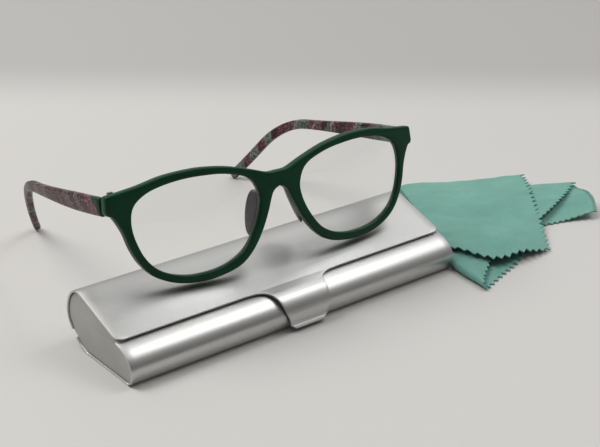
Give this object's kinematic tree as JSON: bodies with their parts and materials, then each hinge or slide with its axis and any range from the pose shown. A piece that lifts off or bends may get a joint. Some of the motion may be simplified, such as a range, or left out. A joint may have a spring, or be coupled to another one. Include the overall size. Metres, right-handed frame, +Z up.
{
  "type": "spectacles set with hinged case and cleaning cloth",
  "caption": "Green-framed spectacles standing on a hinged aluminium case, with folding temples and a folded microfibre cloth beside them.",
  "frame": {"origin": "centre of the case's flat bottom, on the surface that the set stands on", "axes": "+X along the case's length, -Y towards the case's opening side and the front of the spectacles, +Z up"},
  "size_m": [0.276, 0.168, 0.0643],
  "materials": {
    "anodised_aluminium": "satin anodised sheet",
    "grey_plastic": "moulded, fine matt texture",
    "felt": "short black pile",
    "steel": "rolled strip and wire",
    "magnet_rubber": "magnet-filled rubber strip",
    "green_plastic": "moulded nylon, matt dark green",
    "lens": "clear, anti-reflection coated",
    "pad_plastic": "dark aubergine, satin",
    "hinge_metal": "small barrel hinge and screw",
    "temple_laminate": "moulded with a printed film of red, pink, purple and grey-green bands",
    "microfibre": "teal green knitted microfibre with pinked edges"
  },
  "bodies": {
    "case": {"base_shell": "anodised_aluminium", "end_cap_left": "grey_plastic", "end_cap_right": "grey_plastic", "base_lining": "felt", "base_hinge_leaf": "steel", "hinge_pin": "steel", "magnet_strip": "magnet_rubber"},
    "lid": {"lid_shell": "anodised_aluminium", "lid_lining": "felt", "lid_hinge_leaf": "steel", "keeper_strip": "steel"},
    "spectacles": {"front_frame": "green_plastic", "lens_left": "lens", "lens_right": "lens", "nose_pad_left": "pad_plastic", "nose_pad_right": "pad_plastic", "front_hinge_left": "hinge_metal", "front_hinge_right": "hinge_metal", "hinge_screw_left": "hinge_metal", "hinge_screw_right": "hinge_metal"},
    "temple_left": {"temple_left": "temple_laminate", "temple_hinge_left": "hinge_metal"},
    "temple_right": {"temple_right": "temple_laminate", "temple_hinge_right": "hinge_metal"},
    "cloth": {"cleaning_cloth": "microfibre"}
  },
  "joints": [
    {"name": "lid_hinge", "type": "hinge", "parent": "case", "child": "lid", "pos_m": [0, 0.0236, 0.0047], "axis": [-1, 0, 0], "range_deg": [0, 88]},
    {"name": "glasses_lift", "type": "slide", "parent": "case", "child": "spectacles", "axis": [0, 0, 1], "range_m": [0, 0.16]},
    {"name": "temple_left_fold", "type": "hinge", "parent": "spectacles", "child": "temple_left", "pos_m": [-0.06235, 0.02066, 0.05486], "axis": [-0.0239, -0.2698, -0.9626], "range_deg": [-5, 80]},
    {"name": "temple_right_fold", "type": "hinge", "parent": "spectacles", "child": "temple_right", "pos_m": [0.07212, 0.01489, 0.05313], "axis": [0.0239, 0.2698, 0.9626], "range_deg": [0, 75]},
    {"name": "cloth_lift", "type": "slide", "parent": "case", "child": "cloth", "axis": [0, 0, 1], "range_m": [0, 0.12]}
  ],
  "couplings": [
    {"joint": "glasses_lift", "follows": "lid_hinge", "m_per_rad": 0.1}
  ]
}
